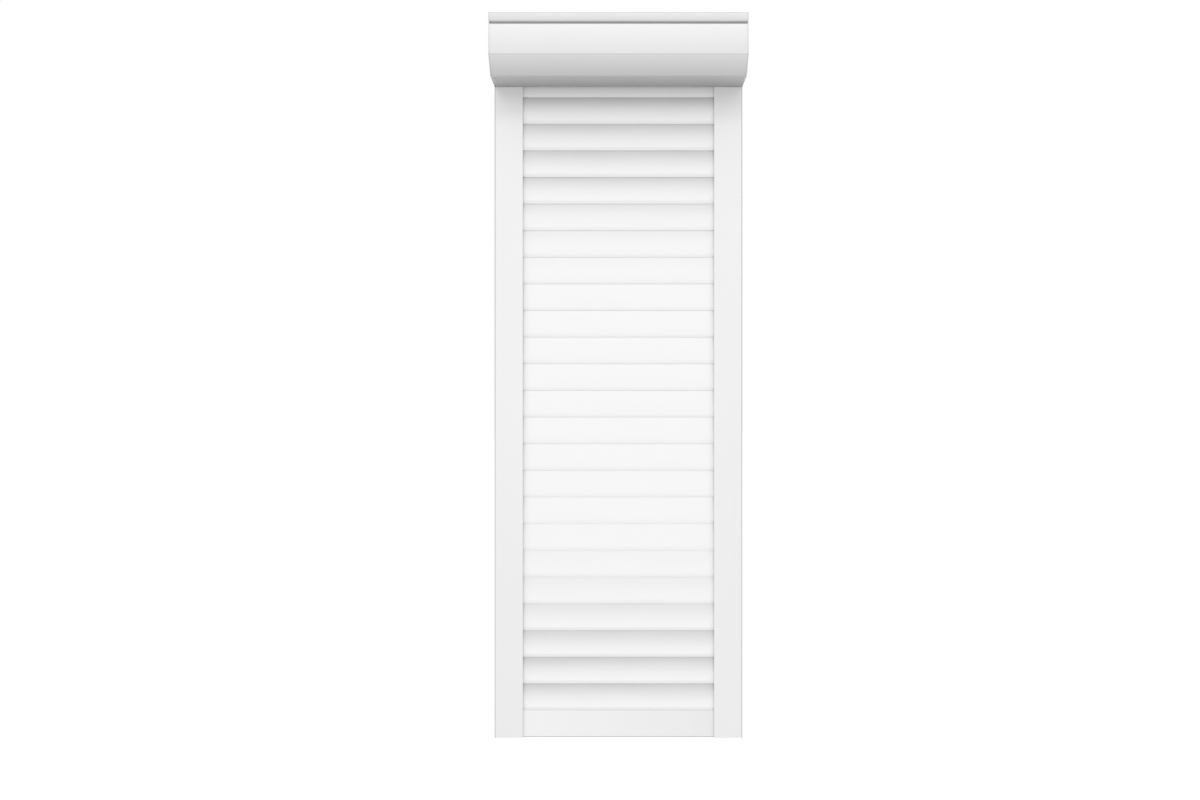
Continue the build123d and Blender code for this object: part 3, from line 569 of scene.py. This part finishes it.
# A metal is its name, its colour and shade, its middle roughness, and the scale and stretch of its marks
METALS = {
    "bearing_steel": ("ground_steel", (0.72, 0.73, 0.74), (0.6, 0.61, 0.62), 0.2, 600.0, (0.1, 1.0, 1.0)),
    "screw_steel": ("zinc_plated_steel", (0.68, 0.68, 0.69), (0.55, 0.55, 0.57), 0.3, 700.0, (1.0, 1.0, 1.0)),
    "spring_steel": ("spring_steel", (0.36, 0.38, 0.42), (0.27, 0.29, 0.33), 0.34, 500.0, (1.0, 0.1, 0.1)),
    "motor_steel": ("motor_tube_steel", (0.74, 0.74, 0.75), (0.62, 0.62, 0.64), 0.3, 420.0, (0.05, 1.0, 1.0)),
    "drive_unit": ("drive_unit_metal", (0.3, 0.3, 0.31), (0.2, 0.2, 0.21), 0.5, 160.0, (1.0, 1.0, 1.0)),
}

# A moulding is its name, its colour and shade, its middle roughness, and the scale and depth of its skin
MOULDINGS = {
    "black_plastic": ("black_plastic", (0.028, 0.028, 0.03), (0.04, 0.04, 0.042), 0.5, 900.0, 0.05 * MM),
    "grey_plastic": ("grey_plastic", (0.3, 0.305, 0.31), (0.25, 0.255, 0.26), 0.5, 800.0, 0.05 * MM),
    "white_plastic": ("white_plastic", (0.82, 0.82, 0.81), (0.76, 0.76, 0.75), 0.45, 800.0, 0.04 * MM),
    "seal_rubber": ("seal_rubber", (0.42, 0.42, 0.42), (0.36, 0.36, 0.36), 0.75, 650.0, 0.08 * MM),
}

SLOT_MATERIALS = {
    **{slot: coating(*values) for slot, values in COATINGS.items()},
    "slat_coating": slat_coating(),
    "galvanised_steel": galvanised("galvanised_steel"),
    **{slot: bare_metal(*values) for slot, values in METALS.items()},
    **{slot: moulded(*values) for slot, values in MOULDINGS.items()},
}
NODE_SLOTS = {row["node"]: row["material_slot"] for row in frame["record"]["subparts"]}


def dress_nodes():
    """Gives every carried-over node the material of its slot."""
    for name, node in frame["nodes"].items():
        for material_slot in node.material_slots:
            material_slot.link = "OBJECT"
            material_slot.material = SLOT_MATERIALS[NODE_SLOTS[name]]


# Slats


def arc(start, end, heading, steps):
    """Points after the start of an arc that leaves it along a heading, in degrees from the u axis."""
    across = end[0] - start[0]
    rise = end[1] - start[1]
    leaving = math.radians(heading)
    turn = math.atan2(rise, across) - leaving
    points = []
    for step in range(1, steps + 1):
        turned = turn * step / steps
        reach = math.hypot(across, rise) * math.sin(turned) / math.sin(turn)
        along = leaving + turned
        points.append((start[0] + reach * math.cos(along), start[1] + reach * math.sin(along)))
    return points


def face_outline(inset, low, high):
    """The front of the slat's section between two levels, moved in by an inset."""
    half = SLAT_HALF_THICKNESS
    crown = (-half, NOSE_HEIGHT)
    nose = arc(crown, (NOSE_TUCK - half, 0.0), NOSE_LEAN - UPRIGHT, NOSE_STEPS)
    face = arc(crown, (TOP_RECESS - half, SLAT_TOP), UPRIGHT, FACE_STEPS)
    front = [(u + inset, v) for u, v in [*nose[::-1], crown, *face]]
    return clipped(front, low, high)


def section_between(inset, low, high):
    """The slat's whole section between two levels, moved in from its front and back by an inset."""
    back = SLAT_HALF_THICKNESS - inset
    return [*face_outline(inset, low, high), (back, high), (back, low)]


def clipped(front, low, high):
    """An open line cut between two levels, with points set on the cuts."""
    kept = []
    for (u0, v0), (u1, v1) in zip(front, front[1:]):
        for level in (low, high):
            if (v0 - level) * (v1 - level) < 0:
                share = (level - v0) / (v1 - v0)
                kept.append((u0 + share * (u1 - u0), level))
        if low <= v1 <= high:
            kept.append((u1, v1))
    if low <= front[0][1] <= high:
        kept.insert(0, front[0])
    return sorted(kept, key=lambda point: point[1])


def slat_loops():
    """The outer loop of the section with its pocket and hook, and the loop of its chamber."""
    half = SLAT_HALF_THICKNESS
    back = half - SLAT_SKIN
    neck_back = back - HOOK_PLAY
    neck_front = neck_back - SLAT_SKIN
    hanger_back = neck_front - HOOK_PLAY
    hanger_front = hanger_back - SLAT_SKIN
    drop_back = hanger_front - HOOK_PLAY
    drop_front = drop_back - SLAT_SKIN
    hook_top = SLAT_TOP + HOOK_HEIGHT
    pocket_top = POCKET_HEIGHT - SLAT_SKIN
    front = face_outline(0.0, 0.0, SLAT_TOP)
    hook = [
        (neck_front, SLAT_TOP),
        (neck_front, hook_top - SLAT_SKIN),
        (drop_back, hook_top - SLAT_SKIN),
        (drop_back, SLAT_TOP + HOOK_DROP),
        (drop_front, SLAT_TOP + HOOK_DROP),
        (drop_front, hook_top),
        (neck_back, hook_top),
        (neck_back, SLAT_TOP),
    ]
    rear = [
        (half - BACK_RADIUS, SLAT_TOP),
        (half, SLAT_TOP - BACK_RADIUS),
        (half, BACK_RADIUS),
        (half - BACK_RADIUS, 0.0),
        (back, 0.0),
        (back, pocket_top),
    ]
    pocket_front = face_outline(SLAT_SKIN, SLAT_SKIN, pocket_top)[::-1]
    hanger = [
        (hanger_front, SLAT_SKIN),
        (hanger_front, HANGER_HEIGHT),
        (hanger_back, HANGER_HEIGHT),
        (hanger_back, 0.0),
    ]
    outer = [*front, *hook, *rear, *pocket_front, *hanger]
    return [outer, section_between(SLAT_SKIN, POCKET_HEIGHT, SLAT_TOP - SLAT_SKIN)]


def extruded(name, loops, low_x, high_x):
    """A mesh from closed loops, the later ones holes, drawn out along X. u becomes Y and v becomes Z."""
    curve = bpy.data.curves.new(name, "CURVE")
    curve.dimensions = "2D"
    curve.fill_mode = "BOTH"
    curve.extrude = (high_x - low_x) / 2
    for loop in loops:
        spline = curve.splines.new("POLY")
        spline.points.add(len(loop) - 1)
        for point, (u, v) in zip(spline.points, loop):
            point.co = (u, v, 0.0, 1.0)
        spline.use_cyclic_u = True
    shape = bpy.data.objects.new(name, curve)
    mesh = bpy.data.meshes.new_from_object(shape)
    bpy.data.objects.remove(shape)
    middle = (low_x + high_x) / 2
    for vertex in mesh.vertices:
        u, v, x = vertex.co
        vertex.co = (x + middle, u, v)
    weld(mesh)
    shade(mesh, DRAWN_ANGLE)
    mesh.name = name
    return mesh


def weld(mesh):
    """Joins doubled points and turns every face outwards."""
    work = bmesh.new()
    work.from_mesh(mesh)
    bmesh.ops.remove_doubles(work, verts=work.verts, dist=WELD_DISTANCE)
    bmesh.ops.recalc_face_normals(work, faces=work.faces)
    work.to_mesh(mesh)
    work.free()


def shade(mesh, angle):
    """Smooth faces, with edges sharp where they turn by more than an angle in degrees."""
    mesh.shade_smooth()
    mesh.set_sharp_from_angle(angle=math.radians(angle))


def moved(mesh, offset):
    copy = mesh.copy()
    for vertex in copy.vertices:
        vertex.co += Vector(offset)
    return copy


def piece(name, mesh, body, slot, nodes):
    """A piece of the scene that rides on a body, takes its slot's material and stands for CAD nodes."""
    shape = bpy.data.objects.new(name, mesh)
    bpy.context.scene.collection.objects.link(shape)
    mesh.materials.clear()
    mesh.materials.append(SLOT_MATERIALS[slot])
    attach(shape, body)
    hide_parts(*nodes)
    return shape


def fold_into_box(shape):
    """Gives the shape its own copy of its mesh."""
    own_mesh(shape)


def build_slats():
    """One section, copied to each slat's place."""
    low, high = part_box(SLAT_NODES[0])
    section = extruded("slat_section", slat_loops(), low.x, high.x)
    middle_y = low.y + SLAT_HALF_THICKNESS
    for node in SLAT_NODES:
        base_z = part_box(node)[0].z
        mesh = moved(section, (0, middle_y, base_z))
        fold_into_box(piece(node + "_rolled", mesh, "curtain", "slat_coating", [node]))
    bpy.data.meshes.remove(section)


def bevelled(mesh, width):
    """Rounds the edges that turn sharply, as moulded edges are."""
    work = bmesh.new()
    work.from_mesh(mesh)
    limit = math.radians(MOULDED_ANGLE)
    sharp = [edge for edge in work.edges if len(edge.link_faces) == 2 and edge.calc_face_angle() > limit]
    bmesh.ops.bevel(
        work,
        geom=sharp,
        offset=width,
        segments=BEVEL_SEGMENTS,
        profile=BEVEL_PROFILE,
        affect="EDGES",
    )
    work.to_mesh(mesh)
    work.free()
    shade(mesh, MOULDED_ANGLE)
    return mesh


def merged(name, meshes):
    """One mesh from several, which are removed."""
    work = bmesh.new()
    for mesh in meshes:
        work.from_mesh(mesh)
    whole = bpy.data.meshes.new(name)
    work.to_mesh(whole)
    work.free()
    for mesh in meshes:
        bpy.data.meshes.remove(mesh)
    shade(whole, MOULDED_ANGLE)
    return whole


def build_end_locks():
    """Two locks in each slat, each a plate at its end with a plug in its chamber."""
    low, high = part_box(SLAT_NODES[0])
    lock_bottom = LOCK_MARGIN
    lock_top = SLAT_PITCH - LOCK_MARGIN
    plate = section_between(0.0, lock_bottom, lock_top)
    plug = section_between(SLAT_SKIN + SLAT_PLAY, lock_bottom + SLAT_PLAY, lock_top - SLAT_PLAY)
    spans = [
        (plate, high.x, high.x + LOCK_PLATE),
        (plug, high.x - LOCK_PLUG, high.x),
        (plate, low.x - LOCK_PLATE, low.x),
        (plug, low.x, low.x + LOCK_PLUG),
    ]
    models = [bevelled(extruded("lock_part", [loop], x0, x1), LOCK_BEVEL) for loop, x0, x1 in spans]
    middle_y = low.y + SLAT_HALF_THICKNESS
    copies = [moved(model, (0, middle_y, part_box(node)[0].z)) for node in SLAT_NODES for model in models]
    for model in models:
        bpy.data.meshes.remove(model)
    mesh = merged("slat_end_locks_moulded", copies)
    shape = piece("slat_end_locks_moulded", mesh, "curtain", "white_plastic", ["slat_end_locks"])
    fold_into_box(shape)


def build_straps():
    """Spring-steel straps from the top slat's hook, over in one bend to the top of the shaft's rings."""
    low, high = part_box("spring_straps")
    shaft_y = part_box("shaft_tube")[0].lerp(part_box("shaft_tube")[1], 0.5).y
    bend = STRAP_BEND_SHARE * min(high.y - shaft_y, high.z - low.z)
    centre = (high.y - bend, high.z - bend)
    outer = [(high.y, low.z)]
    inner = [(high.y - STRAP_THICKNESS, low.z)]
    for step in range(STRAP_STEPS + 1):
        turn = math.pi / 2 * step / STRAP_STEPS
        for line, radius in ((outer, bend), (inner, bend - STRAP_THICKNESS)):
            line.append((centre[0] + radius * math.cos(turn), centre[1] + radius * math.sin(turn)))
    outer.append((shaft_y, high.z))
    inner.append((shaft_y, high.z - STRAP_THICKNESS))
    straps = []
    reach = high.x - low.x - STRAP_WIDTH
    for share in STRAP_PLACE_SHARES:
        left = low.x + reach * share
        straps.append(extruded("strap", [[*outer, *inner[::-1]]], left, left + STRAP_WIDTH))
    mesh = merged("spring_straps_rolled", straps)
    shape = piece("spring_straps_rolled", mesh, "shaft", "spring_steel", ["spring_straps"])
    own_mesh(shape)


# Stage


def white_to_the_camera(tree, lit, white):
    """A shader that is white to the camera, in reflections and through glass, and lights at its own level."""
    path = add(tree, "ShaderNodeLightPath")
    seen = most(tree, *(path.outputs[f"Is {ray} Ray"] for ray in ("Camera", "Transmission", "Glossy")))
    mix = add(tree, "ShaderNodeMixShader")
    tree.links.new(seen, mix.inputs["Fac"])
    tree.links.new(lit, mix.inputs[1])
    tree.links.new(white, mix.inputs[2])
    return mix.outputs["Shader"]


def build_floor():
    """A floor that is white from above and isn't there from below."""
    mesh = bpy.data.meshes.new("floor")
    half = FLOOR_SIZE / 2
    corners = [(-half, -half, 0), (half, -half, 0), (half, half, 0), (-half, half, 0)]
    mesh.from_pydata(corners, [], [(0, 1, 2, 3)])
    floor = bpy.data.objects.new("floor", mesh)
    bpy.context.scene.collection.objects.link(floor)
    floor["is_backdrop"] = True
    material, tree, _ = new_material("pale_floor")
    material.cycles.emission_sampling = "NONE"
    mesh.materials.append(material)
    lit = add(tree, "ShaderNodeEmission")
    lit.inputs["Strength"].default_value = FLOOR_LEVEL
    glow = add(tree, "ShaderNodeEmission")
    glow.inputs["Strength"].default_value = FLOOR_GLOW
    veil = add(tree, "ShaderNodeBsdfDiffuse")
    veil.inputs["Color"].default_value = (*FLOOR_VEIL, 1.0)
    both = add(tree, "ShaderNodeAddShader")
    tree.links.new(glow.outputs["Emission"], both.inputs[0])
    tree.links.new(veil.outputs["BSDF"], both.inputs[1])
    above = white_to_the_camera(tree, lit.outputs["Emission"], both.outputs["Shader"])
    one_sided = add(tree, "ShaderNodeMixShader")
    tree.links.new(add(tree, "ShaderNodeNewGeometry").outputs["Backfacing"], one_sided.inputs["Fac"])
    tree.links.new(above, one_sided.inputs[1])
    tree.links.new(add(tree, "ShaderNodeBsdfTransparent").outputs["BSDF"], one_sided.inputs[2])
    tree.links.new(one_sided.outputs["Shader"], tree.nodes["Material Output"].inputs["Surface"])


def build_sky():
    world = bpy.data.worlds.new("studio")
    bpy.context.scene.world = world
    world.use_nodes = True
    tree = world.node_tree
    soft = tree.nodes["Background"]
    soft.inputs["Color"].default_value = WHITE
    soft.inputs["Strength"].default_value = SKY_LEVEL
    white = add(tree, "ShaderNodeBackground")
    white.inputs["Color"].default_value = WHITE
    white.inputs["Strength"].default_value = 1.0
    sky = white_to_the_camera(tree, soft.outputs["Background"], white.outputs["Background"])
    tree.links.new(sky, tree.nodes["World Output"].inputs["Surface"])


def build_lamp(name, azimuth, elevation, spread, strength, reflected):
    """A distant soft lamp. Azimuth 0 shines from the front and 90 from the right, in degrees."""
    lamp = bpy.data.lights.new(name, "SUN")
    lamp.energy = strength
    lamp.angle = math.radians(spread)
    shape = bpy.data.objects.new(name, lamp)
    shape.visible_glossy = reflected
    bpy.context.scene.collection.objects.link(shape)
    turn = math.radians(azimuth)
    rise = math.radians(elevation)
    towards = Vector((math.sin(turn) * math.cos(rise), -math.cos(turn) * math.cos(rise), math.sin(rise)))
    shape.rotation_euler = towards.to_track_quat("Z", "Y").to_euler()


def build_camera():
    rail_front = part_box("rail_cover_right")[0].y
    data = bpy.data.cameras.new("camera")
    data.lens = CAMERA_LENS
    data.sensor_width = SENSOR_WIDTH
    data.shift_x = CAMERA_SHIFT_X
    camera = bpy.data.objects.new("camera", data)
    bpy.context.scene.collection.objects.link(camera)
    camera.location = (0.0, rail_front - CAMERA_DISTANCE, CAMERA_HEIGHT)
    camera.rotation_euler = (math.radians(CAMERA_TILT), 0, 0)
    bpy.context.scene.camera = camera


dress_nodes()
build_slats()
build_end_locks()
build_straps()
build_floor()
build_sky()
for lamp in LAMPS:
    build_lamp(*lamp)
build_camera()
bpy.context.scene.view_settings.view_transform = "Standard"
